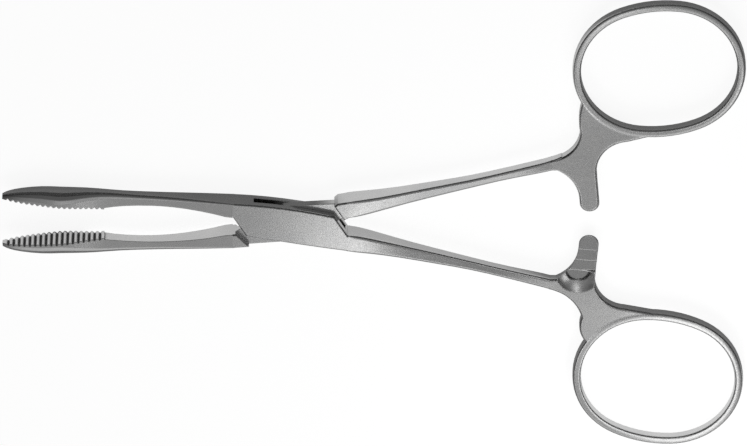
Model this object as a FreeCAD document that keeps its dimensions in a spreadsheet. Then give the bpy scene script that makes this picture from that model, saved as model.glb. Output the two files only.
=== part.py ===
# Box-lock dressing forceps with leaf-shaped serrated jaws, two finger rings and a ratchet catch.
# Millimetres. The pivot's axis is Z, and the origin is on it, in the plane of the box's back plate.
# +X runs to the finger rings and -X to the jaw tips. At rest the jaws stand open as in the picture.
# Both halves are drawn closed, in the same way: jaw on +Y, shank on -Y, mid-plane at Z = 0.
# The tongue half is then rolled over about X, so that its jaw faces the other one.
import FreeCAD, Part
import math
import os
import re
import Sketcher

SIZES = {
    # the opening between the two halves at rest, in degrees
    "rest_opening": 10.0,
    # box lock
    "box_thick": 4.2,
    "box_half_width": 3.85,
    "box_end_half_width": 4.4,
    "slot_height": 1.6,
    "slot_end": 7.3,
    "tongue_clearance": 0.05,
    "pin_radius": 1.75,
    "pin_clearance": 0.05,
    "plate_corner_radius": 8.6,
    "plate_corner_angle": 19.3,
    "plate_end_angle": 37.0,
    "jaw_shoulder_distance": 8.75,
    "jaw_shoulder_angle": 38.7,
    "shank_shoulder_distance": 9.3,
    "shank_shoulder_angle": 27.0,
    "tongue_waist": 1.0,
    "jaw_crotch": 0.92,
    "shank_crotch": 1.1,
    "tongue_crotch": 0.44,
    "box_edge_chamfer": 0.25,
    "root_overlap": 0.25,
    # jaws
    "jaw_length": 54.5,
    "jaw_root": 11.0,
    "leaf_length": 19.3,
    "leaf_width": 4.85,
    "leaf_back": 3.48,
    "neck_width": 2.4,
    "neck_back": 3.5,
    "neck_relief": 1.75,
    "back_roundness": 0.43,
    "grip_step": 0.35,
    "grip_gap": 0.1,
    "serration_pitch": 1.02,
    "serration_width": 0.76,
    "serration_depth": 0.38,
    "serration_count": 18,
    "first_serration": 1.1,
    # shanks
    "shank_root": 11.0,
    "shank_end": 52.0,
    "shank_root_offset": 2.65,
    "shank_end_offset": 9.15,
    "shank_root_width": 3.4,
    "shank_waist_width": 1.9,
    "shank_end_width": 2.5,
    "shank_thick": 2.1,
    "shank_edge_radius": 0.5,
    "shank_slant": 4.0,
    # webs and ratchet arms
    "web_thick": 2.12,
    "web_edge_chamfer": 0.33,
    "arm_centre": 56.5,
    "arm_width": 3.7,
    "arm_tip": 1.95,
    "arm_gap": 0.2,
    "scoop_x": 55.0,
    "scoop_y": 5.3,
    "scoop_radius": 4.5,
    "scoop_ramp": 3.8,
    "tooth_count": 3,
    "tooth_pitch": 2.28,
    "tooth_depth": 0.35,
    "tooth_length": 1.95,
    "first_tooth": 1.1,
    # finger rings
    "box_ring_start": 56.95,
    "tongue_ring_start": 56.15,
    "ring_side": 13.87,
    "ring_half_length": 15.45,
    "ring_half_width": 13.43,
    "box_ring_turn": 7.2,
    "tongue_ring_turn": 3.1,
    "ring_side_flatness": 0.28,
    "ring_band": 1.6,
    "ring_thick": 2.25,
    "ring_squareness": 4.0,
}

# Leaf: distance from the tip, width and back height, each as a share of the leaf's own size.
LEAF = (
    (0.0, 0.23, 0.26),
    (0.06, 0.44, 0.43),
    (0.2, 0.73, 0.64),
    (0.44, 0.965, 0.82),
    (0.62, 0.99, 0.87),
    (0.83, 0.73, 0.97),
    (1.0, 0.557, 1.0),
)
# Neck: distance from the leaf to the box, and how far width and back have grown to the box's.
NECK = (
    (0.2, 0.0, 0.0),
    (0.4, 0.09, 0.42),
    (0.6, 0.34, 0.82),
    (0.8, 0.69, 1.0),
    (1.0, 1.0, 1.0),
)
# Shank: distance from the box, sideways travel, slimming to the waist, widening to the web,
# thinning, slant of the faces.
SHANK = (
    (0.0, 0.0, 0.0, 0.0, 0.0, 0.0),
    (0.107, 0.058, 0.06, 0.0, 0.1, 0.35),
    (0.246, 0.181, 0.45, 0.0, 0.42, 0.85),
    (0.388, 0.317, 0.69, 0.0, 0.67, 1.0),
    (0.573, 0.496, 0.98, 0.0, 0.86, 1.0),
    (0.761, 0.701, 1.0, 0.0, 0.93, 0.8),
    (0.902, 0.851, 1.0, 0.43, 0.95, 0.0),
    (1.0, 1.0, 1.0, 1.0, 1.12, 0.0),
)
# Facets that round a jaw's back edge, a shank's edge and a finger ring's section.
BACK_FACETS = 4
EDGE_FACETS = 3
RING_FACETS = 24

doc = FreeCAD.newDocument("forceps")
sheet = doc.addObject("Spreadsheet::Sheet", "Sizes")
for row, (alias, size) in enumerate(SIZES.items(), 1):
    sheet.set(f"A{row}", alias)
    sheet.set(f"B{row}", str(size))
    sheet.setAlias(f"B{row}", alias)
doc.recompute()
volumes = {}


def bound(text):
    """Turn the size names in an expression into references to the sheet."""
    return re.sub(r"[a-z]\w*", lambda m: f"Sizes.{m[0]}" if m[0] in SIZES else m[0], text)


def number(text):
    return float(sheet.evalExpression(bound(text)))


def point(across, up):
    return FreeCAD.Vector(number(across), number(up), 0)


def plane(body, role):
    return next(item for item in body.Origin.OriginFeatures if item.Role == role)


def new_sketch(body, name, role="XY_Plane", offset="0"):
    """A sketch on one of the body's own planes, moved along that plane's normal."""
    sketch = body.newObject("Sketcher::SketchObject", name)
    sketch.AttachmentSupport = [(plane(body, role), "")]
    sketch.MapMode = "FlatFace"
    sketch.AttachmentOffset = FreeCAD.Placement(FreeCAD.Vector(0, 0, number(offset)), FreeCAD.Rotation())
    sketch.setExpression("AttachmentOffset.Base.z", bound(offset))
    return sketch


def pin_point(sketch, geometry, position, expressions):
    """Hold one point of a sketch at a place given by two expressions."""
    for kind, text in zip(("DistanceX", "DistanceY"), expressions):
        size = number(text)
        index = sketch.addConstraint(Sketcher.Constraint(kind, -1, 1, geometry, position, size))
        sketch.setExpression(f"Constraints[{index}]", bound(text))


def arc_through(start, middle, end):
    """The counter-clockwise arc over three points, and whether it runs from start to end."""
    found = Part.Arc(start, middle, end).toShape().Curve
    centre = FreeCAD.Vector(found.Center.x, found.Center.y, 0)
    turns_left = (middle - start).cross(end - middle).z > 0
    first, last = (start, end) if turns_left else (end, start)
    angles = [math.atan2(item.y - centre.y, item.x - centre.x) for item in (first, last)]
    if angles[1] < angles[0]:
        angles[1] += 2 * math.pi
    base = Part.Circle(centre, FreeCAD.Vector(0, 0, 1), found.Radius)
    return Part.ArcOfCircle(base, *angles), turns_left


def draw(sketch, corners, bends=None):
    """Draw a closed outline. bends[k] is a point that the side after corner k curves through."""
    bends = bends or {}
    places = [point(*corner) for corner in corners]
    ends = []
    for index, start in enumerate(places):
        stop = places[(index + 1) % len(places)]
        if index in bends:
            arc, forward = arc_through(start, point(*bends[index]), stop)
            side = sketch.addGeometry(arc, False)
            ends.append((side, 1, 2) if forward else (side, 2, 1))
        else:
            side = sketch.addGeometry(Part.LineSegment(start, stop), False)
            ends.append((side, 1, 2))
    for index, (side, first, last) in enumerate(ends):
        following, start_there, _ = ends[(index + 1) % len(ends)]
        sketch.addConstraint(Sketcher.Constraint("Coincident", side, last, following, start_there))
    for index, (side, first, last) in enumerate(ends):
        pin_point(sketch, side, first, corners[index])
    for index, bend in bends.items():
        mark = sketch.addGeometry(Part.Point(point(*bend)), True)
        pin_point(sketch, mark, 1, bend)
        sketch.addConstraint(Sketcher.Constraint("PointOnObject", mark, 1, ends[index][0]))
    return sketch


def circle(sketch, radius):
    """A circle about the sketch's origin."""
    side = sketch.addGeometry(Part.Circle(FreeCAD.Vector(), FreeCAD.Vector(0, 0, 1), number(radius)), False)
    sketch.addConstraint(Sketcher.Constraint("Coincident", side, 3, -1, 1))
    index = sketch.addConstraint(Sketcher.Constraint("Radius", side, number(radius)))
    sketch.setExpression(f"Constraints[{index}]", bound(radius))
    return sketch


def pad(body, name, sketch, length):
    """Thicken a sketch to both sides of its plane."""
    feature = body.newObject("PartDesign::Pad", name)
    feature.Profile = sketch
    feature.SideType = "Symmetric"
    feature.setExpression("Length", bound(length))
    return settle(feature, 1)


def pocket(body, name, sketch, length):
    """Cut a sketch away to both sides of its plane."""
    feature = body.newObject("PartDesign::Pocket", name)
    feature.Profile = sketch
    feature.SideType = "Symmetric"
    feature.setExpression("Length", bound(length))
    return settle(feature, -1)


def row_of(body, name, feature, axis, backwards, count, pitch):
    """Repeat a cut in a straight row."""
    pattern = body.newObject("PartDesign::LinearPattern", name)
    pattern.Originals = [feature]
    pattern.Direction = (plane(body, axis), [""])
    pattern.Reversed = backwards
    pattern.Mode = "Spacing"
    pattern.setExpression("Offset", bound(pitch))
    pattern.setExpression("Occurrences", bound(count))
    body.Tip = pattern
    return settle(pattern, -1)


def settle(feature, sign):
    """Recompute, and make sure that a feature added or took away material as it should."""
    doc.recompute()
    owner = feature.getParentGeoFeatureGroup().Name
    change = feature.Shape.Volume - volumes.get(owner, 0.0)
    volumes[owner] = feature.Shape.Volume
    if change * sign <= 0:
        raise RuntimeError(f"{feature.Name} changed the volume by {change:.3f}")
    return feature


def ease_faces(body, name, feature, height, size, sharp=None):
    """Chamfer the edges of a pad's two flat faces, apart from those that sharp() picks out."""
    flat = number(height)
    chosen = []
    for index, edge in enumerate(feature.Shape.Edges, 1):
        levels = [corner.Z for corner in edge.Vertexes]
        level = max(levels) - min(levels) < 1e-6 and abs(abs(levels[0]) - flat) < 1e-6
        if level and not (sharp and sharp(edge)):
            chosen.append(f"Edge{index}")
    chamfer = body.newObject("PartDesign::Chamfer", name)
    chamfer.Base = (feature, chosen)
    chamfer.setExpression("Size", bound(size))
    body.Tip = chamfer
    return settle(chamfer, -1)


def eased(edge, half, radius, inwards, facets):
    """The points that round one corner of a cross-section, from its face to its edge."""
    points = []
    for step in range(facets + 1):
        turn = math.radians(90 * step / facets)
        points.append((f"{edge} + {inwards * (1 - math.sin(turn))} * ({radius})",
                       f"{half} - {1 - math.cos(turn)} * ({radius})"))
    return points


def section(body, name, at, inner, outer, width, radius, facets, inner_radius=None, slant="0"):
    """A cross-section in the YZ plane, with its edges eased, and thinner at inner by the slant."""
    sign = 1 if number(outer) > number(inner) else -1
    half = f"({width}) / 2"
    upper = eased(outer, half, radius, -sign, facets)
    if inner_radius:
        lower_half = f"{half} - abs({outer} - ({inner})) * tan({slant})"
        upper = eased(inner, lower_half, inner_radius, sign, facets)[::-1] + upper
    else:
        upper.insert(0, (inner, half))
    lower = [(across, f"-({up})") for across, up in reversed(upper)]
    return draw(new_sketch(body, name, "YZ_Plane", at), upper + lower)


def loft(body, name, sections):
    feature = body.newObject("PartDesign::AdditiveLoft", name)
    feature.Profile = sections[0]
    feature.Sections = sections[1:]
    return settle(feature, 1)


def ring_arcs():
    """The centre shifts of the ring's end arcs and side arcs, and the angle where they meet.

    A ring's middle line is an oval of four arcs.
    """
    spare = number("ring_side_flatness")
    shift = number("ring_half_length - ring_half_width") + spare
    drop = (shift ** 2 - spare ** 2) / (2 * spare)
    return shift, drop, math.degrees(math.atan2(drop, shift))


def ring_place(side, angle, grow=0.0):
    """The point of a ring's middle line that faces an angle, moved outwards by grow."""
    shift, drop, joint = ring_arcs()
    way = FreeCAD.Vector(math.cos(math.radians(angle)), math.sin(math.radians(angle)), 0)
    if abs(way.y) < math.sin(math.radians(joint)) + 1e-9:
        local = FreeCAD.Vector(math.copysign(shift, way.x), 0, 0)
        local += way * (number("ring_half_length") - shift + grow)
    else:
        local = FreeCAD.Vector(0, -math.copysign(drop, way.y), 0)
        local += way * (number("ring_half_width") + drop + grow)
    turned = FreeCAD.Rotation(FreeCAD.Vector(0, 0, 1), -number(f"{side}_ring_turn"))
    centre = point(f"{side}_ring_start + ring_half_length", "-ring_side - ring_half_width")
    return centre + turned.multVec(local)


def ring_corner(side, angle, grow=0.0):
    """The same point, as a pair of expressions for an outline."""
    place = ring_place(side, angle, grow)
    return str(place.x), str(place.y)


def add_ring(body, side):
    """The finger ring: a rounded section carried round the oval of four arcs."""
    joint = ring_arcs()[2]
    path = draw(new_sketch(body, "RingPath"),
                [ring_corner(side, angle) for angle in (joint, 180 - joint, 180 + joint, 360 - joint)],
                {index: ring_corner(side, angle) for index, angle in enumerate((90, 180, 270, 0))})
    profile = new_sketch(body, "RingSection", "XZ_Plane")
    start = ring_place(side, joint)
    profile.setExpression("AttachmentOffset.Base.z", None)
    profile.AttachmentOffset = FreeCAD.Placement(
        FreeCAD.Vector(start.x, 0, -start.y),
        FreeCAD.Rotation(FreeCAD.Vector(0, 1, 0), joint - number(f"{side}_ring_turn")),
    )
    bulge = 2 / number("ring_squareness")
    turns = [math.radians(360 * step / RING_FACETS) for step in range(RING_FACETS)]
    shares = [[math.copysign(abs(part) ** bulge, part) for part in (math.cos(turn), math.sin(turn))]
              for turn in turns]
    draw(profile, [(f"{wide} * ring_band / 2", f"{tall} * ring_thick / 2") for wide, tall in shares])
    feature = body.newObject("PartDesign::AdditivePipe", "Ring")
    feature.Profile = profile
    feature.Spine = (path, ["Edge1", "Edge2", "Edge3", "Edge4"])
    feature.Mode = "Binormal"
    feature.Binormal = FreeCAD.Vector(0, 0, 1)
    return settle(feature, 1)


def add_web(body, side):
    """The web that joins shank, ring and ratchet arm, with the arm's rounded tip."""
    left, right = "arm_centre - arm_width / 2", "arm_centre + arm_width / 2"
    edge = f"{side}_ring_start - 0.3"
    flush = number("ring_band / 2 - 0.1")
    corners = [
        ("shank_end - 4.6", "-shank_end_offset + 1.07"),
        ("shank_end - 2", "-shank_end_offset - 0.6"),
        (edge, "-shank_end_offset - 6.05"),
        ring_corner(side, 159, flush),
        ring_corner(side, 159),
        ring_corner(side, 99),
        ring_corner(side, 99, flush),
        ("arm_centre + 8.1", "-shank_end_offset - 3.35"),
        (right, "-shank_end_offset + 2.6"),
        (right, "arm_tip - arm_width / 2"),
        (left, "arm_tip - arm_width / 2"),
        (left, "-1"),
        ("shank_end - 1", "-shank_end_offset + 1.8"),
        ("shank_end - 3.4", "-shank_end_offset + 1.6"),
    ]
    bends = {
        1: ("shank_end + 2", "-shank_end_offset - 2.3"),
        2: (f"{side}_ring_start - 0.25", "-shank_end_offset - 9.35"),
        4: ring_corner(side, 128),
        7: ("arm_centre + 3.7", "-shank_end_offset - 1.6"),
        9: ("arm_centre", "arm_tip"),
        11: ("arm_centre - 2.85", "-shank_end_offset + 4.4"),
    }
    web = pad(body, "Web", draw(new_sketch(body, "WebOutline"), corners, bends), "web_thick")
    hidden = [point(*corner) for corner in corners[4:6]]

    def in_ring(edge):
        """Whether an edge ends on the ring's middle line."""
        return any((corner.Point - FreeCAD.Vector(0, 0, corner.Z)).isEqual(place, 0.001)
                   for corner in edge.Vertexes for place in hidden)

    ease_faces(body, "WebEdges", web, "web_thick / 2", "web_edge_chamfer", in_ring)


def add_shank(body):
    stations = []
    for index, (along, aside, slim, widen, thin, slant) in enumerate(SHANK):
        at = f"shank_root + {along} * (shank_end - shank_root)"
        middle = f"(shank_root_offset + {aside} * (shank_end_offset - shank_root_offset))"
        width = (f"(shank_root_width - {slim} * (shank_root_width - shank_waist_width)"
                 f" + {widen} * (shank_end_width - shank_waist_width))")
        thick = f"(box_thick - {thin} * (box_thick - shank_thick))"
        radius = "box_edge_chamfer" if index == 0 else "shank_edge_radius"
        inner, outer = f"-{middle} + {width} / 2", f"-{middle} - {width} / 2"
        stations.append(section(body, f"ShankSection{index}", at, inner, outer, thick, radius, EDGE_FACETS,
                                radius, f"{slant} * shank_slant"))
    return loft(body, "Shank", stations)


def add_jaw(body):
    """The leaf-shaped jaw and its neck. The leaf's grip face lies in the closing plane."""
    stations = []
    for index, (along, wide, deep) in enumerate(LEAF):
        at = f"-jaw_length + {along} * leaf_length"
        width, back = f"{wide} * leaf_width", f"{deep} * leaf_back"
        radius = f"back_roundness * {wide} * leaf_width"
        stations.append(section(body, f"LeafSection{index}", at, "grip_gap / 2", back, width, radius,
                                BACK_FACETS))
    for index, (along, wide, deep) in enumerate(NECK):
        at = f"leaf_length - jaw_length + {along} * (jaw_length - leaf_length - jaw_root)"
        width = f"(neck_width + {wide} * (box_thick - neck_width))"
        back = f"(neck_back + {deep} * (box_half_width - neck_back))"
        radius = f"({1 - along} * back_roundness * {width} + {along} * box_edge_chamfer)"
        stations.append(section(body, f"NeckSection{index}", at, "grip_gap / 2", back, width, radius,
                                BACK_FACETS))
    return loft(body, "Jaw", stations)


def cut_jaw(body):
    """Relieve the neck, so that only the leaves meet, then cut the cross serrations."""
    end = "leaf_length - jaw_length"
    relief = draw(new_sketch(body, "NeckRelief"), [
        (end, "-1"),
        (end, "grip_step"),
        ("-jaw_root - 1.3", "jaw_crotch"),
        ("-jaw_root + 1", "jaw_crotch"),
        ("-jaw_root + 1", "-1"),
    ], {1: ("(leaf_length - jaw_length - jaw_root - 1.3) / 2", "neck_relief")})
    pocket(body, "Neck", relief, "2 * box_thick")
    at = "first_serration - jaw_length"
    groove = draw(new_sketch(body, "SerrationOutline"), [
        (f"{at} - serration_width / 2", "grip_gap / 2"),
        (at, "grip_gap / 2 + serration_depth"),
        (f"{at} + serration_width / 2", "grip_gap / 2"),
        (at, "-0.3"),
    ])
    first = pocket(body, "Serration", groove, "2 * leaf_width")
    row_of(body, "Serrations", first, "X_Axis", False, "serration_count", "serration_pitch")


def cut_ratchet(body):
    """Step the arm down to half thickness, with a scooped end, and cut its catch teeth."""
    floor = "-arm_gap / 2"
    top = "web_thick"
    crest = "-first_tooth"
    shelf = f"{crest} + tooth_pitch - tooth_length"
    face = draw(new_sketch(body, "ArmFaceOutline", "YZ_Plane", "arm_centre"), [
        ("arm_tip + 1", f"{floor} - (arm_tip + 1 - ({shelf})) * tooth_depth / tooth_length"),
        ("arm_tip + 1", top),
        ("-scoop_y", top),
        ("-scoop_y", floor),
        (shelf, floor),
    ])
    pocket(body, "ArmFace", face, "2 * arm_width")
    rim = "-scoop_y - scoop_radius"
    profile = draw(new_sketch(body, "ScoopOutline", "YZ_Plane", "scoop_x"), [
        ("-scoop_y", floor),
        ("-scoop_y", top),
        (rim, top),
        (rim, "web_thick / 2"),
        (f"{rim} + scoop_ramp", floor),
    ], {3: (f"{rim} + 0.45 * scoop_ramp", f"{floor} + 0.32 * (web_thick / 2 - ({floor}))")})
    spindle = profile.addGeometry(Part.LineSegment(point("-scoop_y", floor), point("-scoop_y", top)), True)
    pin_point(profile, spindle, 1, ("-scoop_y", floor))
    pin_point(profile, spindle, 2, ("-scoop_y", top))
    scoop = body.newObject("PartDesign::Groove", "Scoop")
    scoop.Profile = profile
    scoop.ReferenceAxis = (profile, ["Axis0"])
    scoop.Angle = 360
    settle(scoop, -1)
    tooth = draw(new_sketch(body, "ToothOutline", "YZ_Plane", "arm_centre"), [
        (crest, f"{floor} + 0.2"),
        (crest, f"{floor} - tooth_depth"),
        (f"{crest} - tooth_length", floor),
        (f"{crest} - tooth_length", f"{floor} + 0.2"),
    ])
    first = pocket(body, "Tooth", tooth, "2 * arm_width")
    row_of(body, "Teeth", first, "Y_Axis", True, "tooth_count", "tooth_pitch")


CORNER_X = "plate_corner_radius * cos(plate_corner_angle)"
CORNER_Y = "plate_corner_radius * sin(plate_corner_angle)"
SHANK_OUTER = "-shank_root_offset - shank_root_width / 2"
SHANK_INNER = "-shank_root_offset + shank_root_width / 2"


def at_root(edge):
    """Whether an edge lies at either end of the box, where the jaw or the shank goes on."""
    roots = -number("jaw_root"), number("shank_root")
    return any(all(abs(corner.X) >= abs(root) and corner.X * root > 0 for corner in edge.Vertexes)
               for root in roots)


def cut_bore(body, radius):
    pocket(body, "Bore", circle(new_sketch(body, "BoreOutline"), radius), "2 * box_thick")


def add_box(body):
    """The box: its two plates end in slanted lines, with free corners at one radius."""
    slope = "tan(plate_end_angle)"
    corners = [
        ("-jaw_root - root_overlap", "box_half_width"),
        (CORNER_X, CORNER_Y),
        (f"{CORNER_X} + ({CORNER_Y} + shank_crotch) * {slope}", "-shank_crotch"),
        ("shank_root + root_overlap", SHANK_INNER),
        ("shank_root + root_overlap", SHANK_OUTER),
        (f"-{CORNER_X}", f"-{CORNER_Y}"),
        (f"-{CORNER_X} - ({CORNER_Y} + jaw_crotch) * {slope}", "jaw_crotch"),
        ("-jaw_root - root_overlap", "jaw_crotch"),
    ]
    bends = {
        0: ("-0.25 * jaw_root", "box_half_width + 0.03"),
        4: ("0.25 * shank_root", "-box_half_width + 0.02"),
    }
    block = pad(body, "Box", draw(new_sketch(body, "BoxOutline"), corners, bends), "box_thick")
    ease_faces(body, "BoxEdges", block, "box_thick / 2", "box_edge_chamfer", at_root)


def cut_slot(body):
    """The slot that the tongue passes through, open at two opposite sides."""
    reach = "2 * box_half_width"
    corners = [
        ("-slot_end", reach),
        ("-slot_end", "box_half_width"),
        ("-slot_end - 0.95 * (box_half_width - jaw_crotch)", "jaw_crotch - 0.3"),
        ("-jaw_root - 3", "-2.2"),
        ("-jaw_root - 3", f"-{reach}"),
        ("slot_end", f"-{reach}"),
        ("slot_end", "-box_half_width"),
        ("slot_end + 0.95 * (box_half_width - jaw_crotch)", "-jaw_crotch + 0.3"),
        ("shank_root + 3", "2.2"),
        ("shank_root + 3", reach),
    ]
    pocket(body, "Slot", draw(new_sketch(body, "SlotOutline"), corners), "slot_height")


def shoulder_at(name, height):
    """X of a shoulder line where it passes the given Y."""
    angle = f"{name}_shoulder_angle"
    return f"({name}_shoulder_distance - ({height}) * sin({angle})) / cos({angle})"


def add_tongue(body):
    """The tongue, and the full-thickness roots beyond its two shoulders."""
    shank_side = "box_half_width - 0.25"
    near, far = shoulder_at("shank", "tongue_crotch"), shoulder_at("shank", shank_side)
    jaw_near, jaw_far = shoulder_at("jaw", "jaw_crotch"), shoulder_at("jaw", "box_half_width")
    root = draw(new_sketch(body, "ShankRootOutline"), [
        (near, "-tongue_crotch"),
        (far, f"-({shank_side})"),
        (f"{far} + 0.7", "-box_half_width - 0.3"),
        ("shank_root + root_overlap", SHANK_OUTER),
        ("shank_root + root_overlap", SHANK_INNER),
    ])
    pad(body, "ShankRoot", root, "box_thick")
    waist = "tongue_waist"
    tongue = draw(new_sketch(body, "TongueOutline"), [
        (f"-({jaw_near}) - 1", "jaw_crotch + 0.3"),
        (f"-({jaw_far}) - 1", "box_half_width - 0.05"),
        (waist, "box_half_width - 0.05"),
        (near, "-tongue_crotch"),
        (f"{near} + 1", "-tongue_crotch - 0.7"),
        (f"{far} + 1", f"-({shank_side})"),
        (far, f"-({shank_side})"),
        (f"-{waist}", "-box_half_width + 0.05"),
        (f"-({jaw_near})", "jaw_crotch"),
    ])
    pad(body, "Tongue", tongue, "slot_height - 2 * tongue_clearance")
    jaw_root = draw(new_sketch(body, "JawRootOutline"), [
        (f"-({jaw_near})", "jaw_crotch"),
        (f"-({jaw_far})", "box_half_width"),
        ("-jaw_root - root_overlap", "box_half_width"),
        ("-jaw_root - root_overlap", "jaw_crotch"),
    ])
    roots = pad(body, "JawRoot", jaw_root, "box_thick")

    def inward(edge):
        """A shoulder, or an end that the jaw or the shank carries on."""
        slanted = all(abs(corner.X) < abs(number(far)) + 0.1 or corner.X < 0 for corner in edge.Vertexes)
        return at_root(edge) or abs(edge.Vertexes[0].Y - edge.Vertexes[1].Y) > 1 and slanted

    ease_faces(body, "RootEdges", roots, "box_thick / 2", "box_edge_chamfer", inward)


def jaw():
    body = doc.addObject("PartDesign::Body", "Jaw")
    add_jaw(body)
    cut_jaw(body)
    return body


def handle(side):
    body = doc.addObject("PartDesign::Body", f"{side.title()}Handle")
    add_web(body, side)
    add_ring(body, side)
    add_shank(body)
    cut_ratchet(body)
    return body


def plates():
    body = doc.addObject("PartDesign::Body", "Plates")
    add_box(body)
    cut_slot(body)
    cut_bore(body, "pin_radius")
    return body


def tongue():
    body = doc.addObject("PartDesign::Body", "Tongue")
    add_tongue(body)
    cut_bore(body, "pin_radius + pin_clearance")
    return body


def half(name, pieces, opening, rolled):
    """Join the forging's regions into one solid and open it by its share of the rest opening."""
    joined = doc.addObject("Part::MultiFuse", name)
    joined.Shapes = pieces
    joined.Refine = True
    roll = FreeCAD.Rotation(FreeCAD.Vector(1, 0, 0), rolled)
    turn = FreeCAD.Rotation(FreeCAD.Vector(0, 0, 1), opening)
    joined.Placement = FreeCAD.Placement(FreeCAD.Vector(0, 0, number("box_thick / 2")), turn * roll)
    return joined


def pivot_pin():
    """The pivot pin, pressed into both plates and ground flush with them."""
    pin = doc.addObject("Part::Cylinder", "pivot_pin")
    pin.setExpression("Radius", bound("pin_radius"))
    pin.setExpression("Height", bound("box_thick"))
    return pin


jaws = jaw()
opening = number("rest_opening / 2")
parts = [
    half("box_half", [jaws, plates(), handle("box")], -opening, 0),
    half("tongue_half", [jaws, tongue(), handle("tongue")], opening, 180),
    pivot_pin(),
]
doc.recompute()
for item in doc.Objects:
    if {"Invalid", "Error"} & set(item.State):
        raise RuntimeError(f"{item.Name} failed: {item.State}")
os.makedirs("parts", exist_ok=True)
for item in parts:
    item.Label = item.Name
    shape = item.Shape
    if shape.isNull() or not shape.isValid() or len(shape.Solids) != 1:
        raise RuntimeError(f"{item.Label} is not one valid solid")
    shape.exportStep(f"parts/{item.Label}.step")
    print(item.Label, round(shape.Volume, 2), len(shape.Faces), shape.BoundBox)
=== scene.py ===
"""Box-lock forceps in satin stainless steel, lying part open on a white ground."""

import math

import bpy
from mathutils import Matrix, Vector


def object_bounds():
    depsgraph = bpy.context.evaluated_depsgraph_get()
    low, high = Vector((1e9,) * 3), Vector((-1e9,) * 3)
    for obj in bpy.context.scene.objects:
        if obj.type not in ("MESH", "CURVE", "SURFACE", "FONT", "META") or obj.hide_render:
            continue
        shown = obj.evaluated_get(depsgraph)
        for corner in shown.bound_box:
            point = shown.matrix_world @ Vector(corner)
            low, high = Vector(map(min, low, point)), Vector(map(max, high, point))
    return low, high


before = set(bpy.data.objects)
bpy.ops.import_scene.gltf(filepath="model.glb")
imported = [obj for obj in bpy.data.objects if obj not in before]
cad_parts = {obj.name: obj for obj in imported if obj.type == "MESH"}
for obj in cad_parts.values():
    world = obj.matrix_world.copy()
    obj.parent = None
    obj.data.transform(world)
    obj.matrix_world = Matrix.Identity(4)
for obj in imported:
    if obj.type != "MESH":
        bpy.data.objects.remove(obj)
cad_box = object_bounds()

# The picture is taken from 2.5 m, tilted 30 degrees from straight above towards +Y.
VIEW_DISTANCE = 2.5
VIEW_TILT = math.radians(30)
VIEW_ROLL = math.radians(0.35)
VIEW_TARGET = Vector((0.015659, -0.000259, 0.0021))
VIEW_WIDTH = 0.14076
VIEW_CLIP = (0.1, 20)
SENSOR = 36.0

GROUND = cad_box[0][2]
FLOOR_HALF = 1.5

# Steel: colour level, roughness, and how far the grain lets the roughness fall and rise.
STEEL_TONE = 0.62
STEEL_ROUGHNESS = 0.25
ROUGHNESS_FALL = 0.05
ROUGHNESS_RISE = 0.06
STEEL_DARKER = (0.95, 0.952, 0.955)
STEEL_LIGHTER = (1.04, 1.037, 1.03)
# The pin is ground flush with the plates, so no edge is rounded this close to its axis.
FLUSH_RADIUS = 0.0024
# Edges are rounded by this much in the shading, and by more where the finger rings begin, along X.
EDGE_ROUNDING = 0.00025
RING_EXTRA_ROUNDING = 0.00035
RINGS_BEGIN = (0.055, 0.06)
# Painted shade darkens the serrations' grooves, on the jaws alone: reach, share of open sky, and where jaws
# end.
GROOVE_REACH = 0.0007
GROOVE_SKY = (0.66, 0.95)
JAWS_END = (-0.034, -0.03)

# What the polished steel sees on the floor: an even level, and painted pools of light beside the parts, a
# glow that only reflections show.
# Each pair is where a pool begins to rise and where it is full, along X or Y.
FLOOR_MATTE = 0.45
FLOOR_PALE = 0.8
FLOOR_LEVEL = 0.12
FLOOR_SHOWN = 0.88
POOL_LEVEL = 0.6
BETWEEN_BELOW = (-0.011, -0.008)
BETWEEN_ABOVE = (0.005, 0.002)
BETWEEN_SHARE = 0.66
BETWEEN_JAWS_EXTRA = 0.28
BETWEEN_JAWS = (0.01, -0.02)
UPPER_START = (0.004, 0.01)
UPPER_SIDE = (-0.002, 0.002)
POOL_END = (0.058, 0.048)
RIM_SHARE = 1.1
RIM_START = (0.052, 0.06)
RIM_SIDE = (-0.034, -0.038)

# Brightness of the studio round the instrument's long axis: degrees from straight up, towards -Y.
STUDIO = (
    (-90, 0.04),
    (-62, 0.05),
    (-42, 0.1),
    (-22, 0.22),
    (0, 0.28),
    (14, 0.27),
    (24, 0.26),
    (31, 0.31),
    (39, 0.6),
    (48, 0.85),
    (58, 0.6),
    (72, 0.25),
    (90, 0.12),
)
# The studio dims towards both ends of the long axis, by this share at the second value of X.
STUDIO_DIMMING = 0.8
STUDIO_ASIDE = (0.2, 0.75)

# Soft boxes that face straight down: name, place, size along X and Y, power in watts.
LAMPS = (
    ("key", (0.021, -0.067, 0.107), (0.036, 0.03), 0.0048),
    ("web", (0.058, -0.068, 0.08), (0.02, 0.014), 0.0004),
    ("ring", (0.076, -0.058, 0.045), (0.016, 0.04), 0.0028),
    ("scoop", (0.059, 0.015, 0.07), (0.012, 0.034), 0.0016),
    ("jaws", (-0.032, -0.014, 0.1), (0.04, 0.024), 0.0011),
    ("fill", (0.102, -0.031, 0.089), (0.03, 0.03), 0.0034),
)


def link(tree, source, socket):
    tree.links.new(source, socket)


def add(tree, kind, **settings):
    """A shader node with its settings, and with values for the sockets that are named in inputs."""
    node = tree.nodes.new(kind)
    inputs = settings.pop("inputs", {})
    for name, value in settings.items():
        setattr(node, name, value)
    for name, value in inputs.items():
        node.inputs[name].default_value = value
    return node


def new_material(name):
    material = bpy.data.materials.new(name)
    material.use_nodes = True
    material.node_tree.nodes.clear()
    return material, material.node_tree


def grey(level):
    return level, level, level, 1


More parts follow.
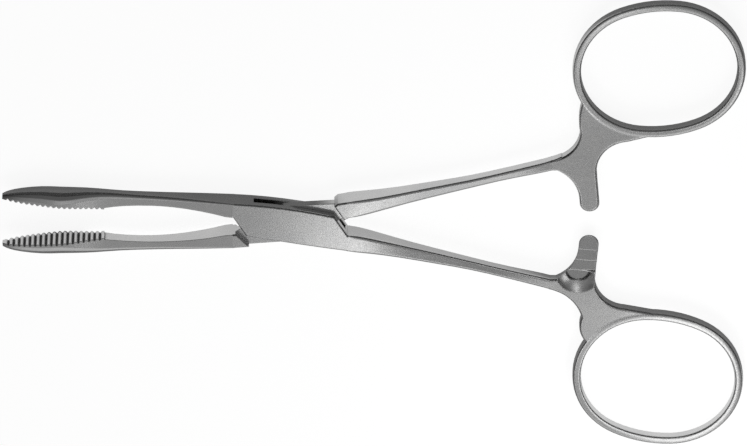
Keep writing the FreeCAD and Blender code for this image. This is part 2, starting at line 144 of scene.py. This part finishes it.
def noise(tree, coordinates, scale, detail, stretch=(1, 1, 1)):
    """Noise in the part's own space. A large stretch along an axis makes the grain finer there."""
    mapping = add(tree, "ShaderNodeMapping", inputs={"Scale": stretch})
    link(tree, coordinates, mapping.inputs["Vector"])
    texture = add(tree, "ShaderNodeTexNoise", inputs={"Scale": scale, "Detail": detail, "Roughness": 0.6})
    link(tree, mapping.outputs["Vector"], texture.inputs["Vector"])
    return texture.outputs["Fac"]


def spread(tree, value, low, high):
    """Map the middle of a noise value to a range."""
    node = add(tree, "ShaderNodeMapRange",
               inputs={"From Min": 0.3, "From Max": 0.7, "To Min": low, "To Max": high})
    link(tree, value, node.inputs["Value"])
    return node.outputs["Result"]


def step(tree, value, low, high):
    """Rise smoothly from 0 at low to 1 at high. High may be the smaller of the two."""
    node = add(tree, "ShaderNodeMapRange", interpolation_type="SMOOTHSTEP",
               inputs={"From Min": low, "From Max": high})
    link(tree, value, node.inputs["Value"])
    return node.outputs["Result"]


def maths(tree, operation, first, second=None, third=None):
    node = add(tree, "ShaderNodeMath", operation=operation)
    for socket, value in zip(node.inputs, (first, second, third)):
        if isinstance(value, (int, float)):
            socket.default_value = value
        elif value is not None:
            link(tree, value, socket)
    return node.outputs["Value"]


def split(tree, vector):
    """The X, Y and Z of a vector."""
    parts = add(tree, "ShaderNodeSeparateXYZ")
    link(tree, vector, parts.inputs[0])
    return parts.outputs["X"], parts.outputs["Y"], parts.outputs["Z"]


def seen_by(tree, rays):
    """1 where the ray is one of the given kinds."""
    path = add(tree, "ShaderNodeLightPath")
    total = path.outputs[rays[0]]
    for ray in rays[1:]:
        total = maths(tree, "MAXIMUM", total, path.outputs[ray])
    return total


def flush_normal(tree, place):
    """Edges that are softly rounded, most at the finger rings, and not at all at the pin."""
    along, across, _ = split(tree, place)
    ring = step(tree, along, *RINGS_BEGIN)
    rounded = add(tree, "ShaderNodeBevel", samples=8)
    radius = maths(tree, "MULTIPLY_ADD", ring, RING_EXTRA_ROUNDING, EDGE_ROUNDING)
    link(tree, radius, rounded.inputs["Radius"])
    plain = add(tree, "ShaderNodeNewGeometry")
    reach = maths(tree, "ADD", maths(tree, "POWER", along, 2.0), maths(tree, "POWER", across, 2.0))
    beyond = maths(tree, "GREATER_THAN", reach, FLUSH_RADIUS ** 2)
    mix = add(tree, "ShaderNodeMix", data_type="VECTOR")
    link(tree, beyond, mix.inputs["Factor"])
    link(tree, plain.outputs["Normal"], mix.inputs["A"])
    link(tree, rounded.outputs["Normal"], mix.inputs["B"])
    return mix.outputs["Result"]


def groove_openness(tree, place):
    """Painted shade for the jaws' grooves: 0 deep in them, and 1 on open faces and on the rest of the
    instrument.
    """
    crevice = add(tree, "ShaderNodeAmbientOcclusion", samples=8, inputs={"Distance": GROOVE_REACH})
    along, _, _ = split(tree, place)
    elsewhere = step(tree, along, *JAWS_END)
    return maths(tree, "MAXIMUM", step(tree, crevice.outputs["AO"], *GROOVE_SKY), elsewhere)


def satin_steel(name):
    """Bead-blasted stainless steel with a fine grain, faint drag lines, softly rounded edges and painted
    shade in the jaws' grooves.
    """
    material, tree = new_material(name)
    place = add(tree, "ShaderNodeTexCoord").outputs["Object"]
    shader = add(tree, "ShaderNodeBsdfPrincipled", inputs={"Metallic": 1.0})
    output = add(tree, "ShaderNodeOutputMaterial")
    link(tree, shader.outputs["BSDF"], output.inputs["Surface"])

    cloud = noise(tree, place, 160, 3)
    grain = noise(tree, place, 5200, 2)
    drag = noise(tree, place, 900, 4, (1, 9, 9))

    clouded = add(tree, "ShaderNodeMix", data_type="RGBA")
    clouded.inputs["A"].default_value = [STEEL_TONE * share for share in STEEL_DARKER] + [1]
    clouded.inputs["B"].default_value = [STEEL_TONE * share for share in STEEL_LIGHTER] + [1]
    link(tree, spread(tree, cloud, 0, 1), clouded.inputs["Factor"])
    # The base colour is darkened by painted shade deep in the jaws' grooves.
    groove_painted_shade = add(tree, "ShaderNodeMix", data_type="RGBA", blend_type="MULTIPLY", inputs={"Factor": 1.0})
    link(tree, clouded.outputs["Result"], groove_painted_shade.inputs["A"])
    link(tree, groove_openness(tree, place), groove_painted_shade.inputs["B"])
    link(tree, groove_painted_shade.outputs["Result"], shader.inputs["Base Color"])
    roughness = spread(tree, grain, STEEL_ROUGHNESS - ROUGHNESS_FALL, STEEL_ROUGHNESS + ROUGHNESS_RISE)
    link(tree, roughness, shader.inputs["Roughness"])

    fine = add(tree, "ShaderNodeBump", inputs={"Strength": 0.12, "Distance": 0.00002})
    link(tree, grain, fine.inputs["Height"])
    link(tree, flush_normal(tree, place), fine.inputs["Normal"])
    lines = add(tree, "ShaderNodeBump", inputs={"Strength": 0.2, "Distance": 0.00003})
    link(tree, drag, lines.inputs["Height"])
    link(tree, fine.outputs["Normal"], lines.inputs["Normal"])
    link(tree, lines.outputs["Normal"], shader.inputs["Normal"])
    return material


def dress(node, material):
    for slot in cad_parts[node].material_slots:
        slot.material = material


def floor_pools(tree):
    """Painted pools of light, glowing in reflections alone: between the jaws and shanks, above the upper
    shank and at the lower ring.
    """
    along, across, _ = split(tree, add(tree, "ShaderNodeTexCoord").outputs["Object"])
    between = maths(tree, "MULTIPLY", step(tree, across, *BETWEEN_BELOW), step(tree, across, *BETWEEN_ABOVE))
    upper = maths(tree, "MULTIPLY", step(tree, along, *UPPER_START), step(tree, across, *UPPER_SIDE))
    share = maths(tree, "MULTIPLY_ADD", step(tree, along, *BETWEEN_JAWS), BETWEEN_JAWS_EXTRA, BETWEEN_SHARE)
    between = maths(tree, "MULTIPLY", between, share)
    pool = maths(tree, "MULTIPLY", maths(tree, "MAXIMUM", between, upper), step(tree, along, *POOL_END))
    rim = maths(tree, "MULTIPLY", step(tree, along, *RIM_START), step(tree, across, *RIM_SIDE))
    return maths(tree, "MAXIMUM", pool, maths(tree, "MULTIPLY", rim, RIM_SHARE))


def white_ground():
    """White to the camera with a faint shadow, pale to other light, and with painted pools of light in
    reflections.
    """
    material, tree = new_material("white_ground")
    matte = add(tree, "ShaderNodeBsdfDiffuse", inputs={"Color": grey(FLOOR_MATTE)})
    # Painted reflections: for glossy rays the floor glows brighter in pools beside the parts.
    reflected = maths(tree, "MULTIPLY_ADD", floor_pools(tree), POOL_LEVEL, FLOOR_LEVEL)
    shown = maths(tree, "MULTIPLY", seen_by(tree, ("Is Camera Ray", "Is Transmission Ray")), FLOOR_SHOWN)
    glow = add(tree, "ShaderNodeEmission", inputs={"Color": grey(1)})
    link(tree, maths(tree, "MAXIMUM", reflected, shown), glow.inputs["Strength"])
    both = add(tree, "ShaderNodeAddShader")
    link(tree, matte.outputs[0], both.inputs[0])
    link(tree, glow.outputs[0], both.inputs[1])
    pale = add(tree, "ShaderNodeBsdfDiffuse", inputs={"Color": grey(FLOOR_PALE)})
    mix = add(tree, "ShaderNodeMixShader")
    link(tree, seen_by(tree, ("Is Camera Ray", "Is Glossy Ray", "Is Transmission Ray")), mix.inputs[0])
    link(tree, pale.outputs[0], mix.inputs[1])
    link(tree, both.outputs[0], mix.inputs[2])
    output = add(tree, "ShaderNodeOutputMaterial")
    link(tree, mix.outputs[0], output.inputs["Surface"])
    return material


def add_floor():
    mesh = bpy.data.meshes.new("floor")
    corners = [(-FLOOR_HALF, -FLOOR_HALF, GROUND), (FLOOR_HALF, -FLOOR_HALF, GROUND),
               (FLOOR_HALF, FLOOR_HALF, GROUND), (-FLOOR_HALF, FLOOR_HALF, GROUND)]
    mesh.from_pydata(corners, [], [(0, 1, 2, 3)])
    floor = bpy.data.objects.new("floor", mesh)
    bpy.context.scene.collection.objects.link(floor)
    mesh.materials.append(white_ground())


def add_world():
    """A soft studio, brightest low on the -Y side, and white where the camera looks at it."""
    world = bpy.data.worlds.new("studio")
    bpy.context.scene.world = world
    world.use_nodes = True
    tree = world.node_tree
    tree.nodes.clear()
    east, north, up = split(tree, add(tree, "ShaderNodeTexCoord").outputs["Generated"])
    angle = maths(tree, "ARCTAN2", maths(tree, "MULTIPLY", north, -1.0), up)
    share = add(tree, "ShaderNodeMapRange",
                inputs={"From Min": -math.pi / 2, "From Max": math.pi / 2, "To Min": 0, "To Max": 1})
    link(tree, angle, share.inputs["Value"])
    height = add(tree, "ShaderNodeValToRGB")
    stops = height.color_ramp.elements
    for index, (degrees, level) in enumerate(STUDIO):
        place = (degrees + 90) / 180
        stop = stops[index] if index < 2 else stops.new(place)
        stop.position = place
        stop.color = grey(level)
    link(tree, share.outputs["Result"], height.inputs["Fac"])
    studio = add(tree, "ShaderNodeBackground")
    link(tree, height.outputs["Color"], studio.inputs["Color"])
    aside = step(tree, maths(tree, "ABSOLUTE", east), *STUDIO_ASIDE)
    link(tree, maths(tree, "MULTIPLY_ADD", aside, -STUDIO_DIMMING, 1.0), studio.inputs["Strength"])
    white = add(tree, "ShaderNodeBackground", inputs={"Color": grey(1), "Strength": 1.0})
    mix = add(tree, "ShaderNodeMixShader")
    output = add(tree, "ShaderNodeOutputWorld")
    link(tree, seen_by(tree, ("Is Camera Ray", "Is Transmission Ray")), mix.inputs[0])
    link(tree, studio.outputs[0], mix.inputs[1])
    link(tree, white.outputs[0], mix.inputs[2])
    link(tree, mix.outputs[0], output.inputs["Surface"])


def add_light(name, place, size, power):
    """A soft box over the forceps, out of the camera's sight."""
    data = bpy.data.lights.new(name, "AREA")
    data.shape = "RECTANGLE"
    data.size, data.size_y = size
    data.energy = power
    light = bpy.data.objects.new(name, data)
    bpy.context.scene.collection.objects.link(light)
    light.location = place
    light.visible_camera = False


def add_camera():
    data = bpy.data.cameras.new("camera")
    data.sensor_width = SENSOR
    data.lens = SENSOR * VIEW_DISTANCE / VIEW_WIDTH
    data.clip_start, data.clip_end = VIEW_CLIP
    camera = bpy.data.objects.new("camera", data)
    bpy.context.scene.collection.objects.link(camera)
    towards = Vector((0, math.sin(VIEW_TILT), math.cos(VIEW_TILT)))
    up = Vector((0, math.cos(VIEW_TILT), -math.sin(VIEW_TILT)))
    right = Vector((1, 0, 0))
    right, up = (right * math.cos(VIEW_ROLL) + up * math.sin(VIEW_ROLL),
                 up * math.cos(VIEW_ROLL) - right * math.sin(VIEW_ROLL))
    turned = Matrix((right, up, towards)).transposed().to_4x4()
    camera.matrix_world = Matrix.Translation(VIEW_TARGET + towards * VIEW_DISTANCE) @ turned
    bpy.context.scene.camera = camera


dress("box_half", satin_steel("box_steel"))
dress("tongue_half", satin_steel("tongue_steel"))
dress("pivot_pin", satin_steel("pin_steel"))
add_floor()
add_world()
for lamp in LAMPS:
    add_light(*lamp)
add_camera()
bpy.context.scene.view_settings.view_transform = "Standard"
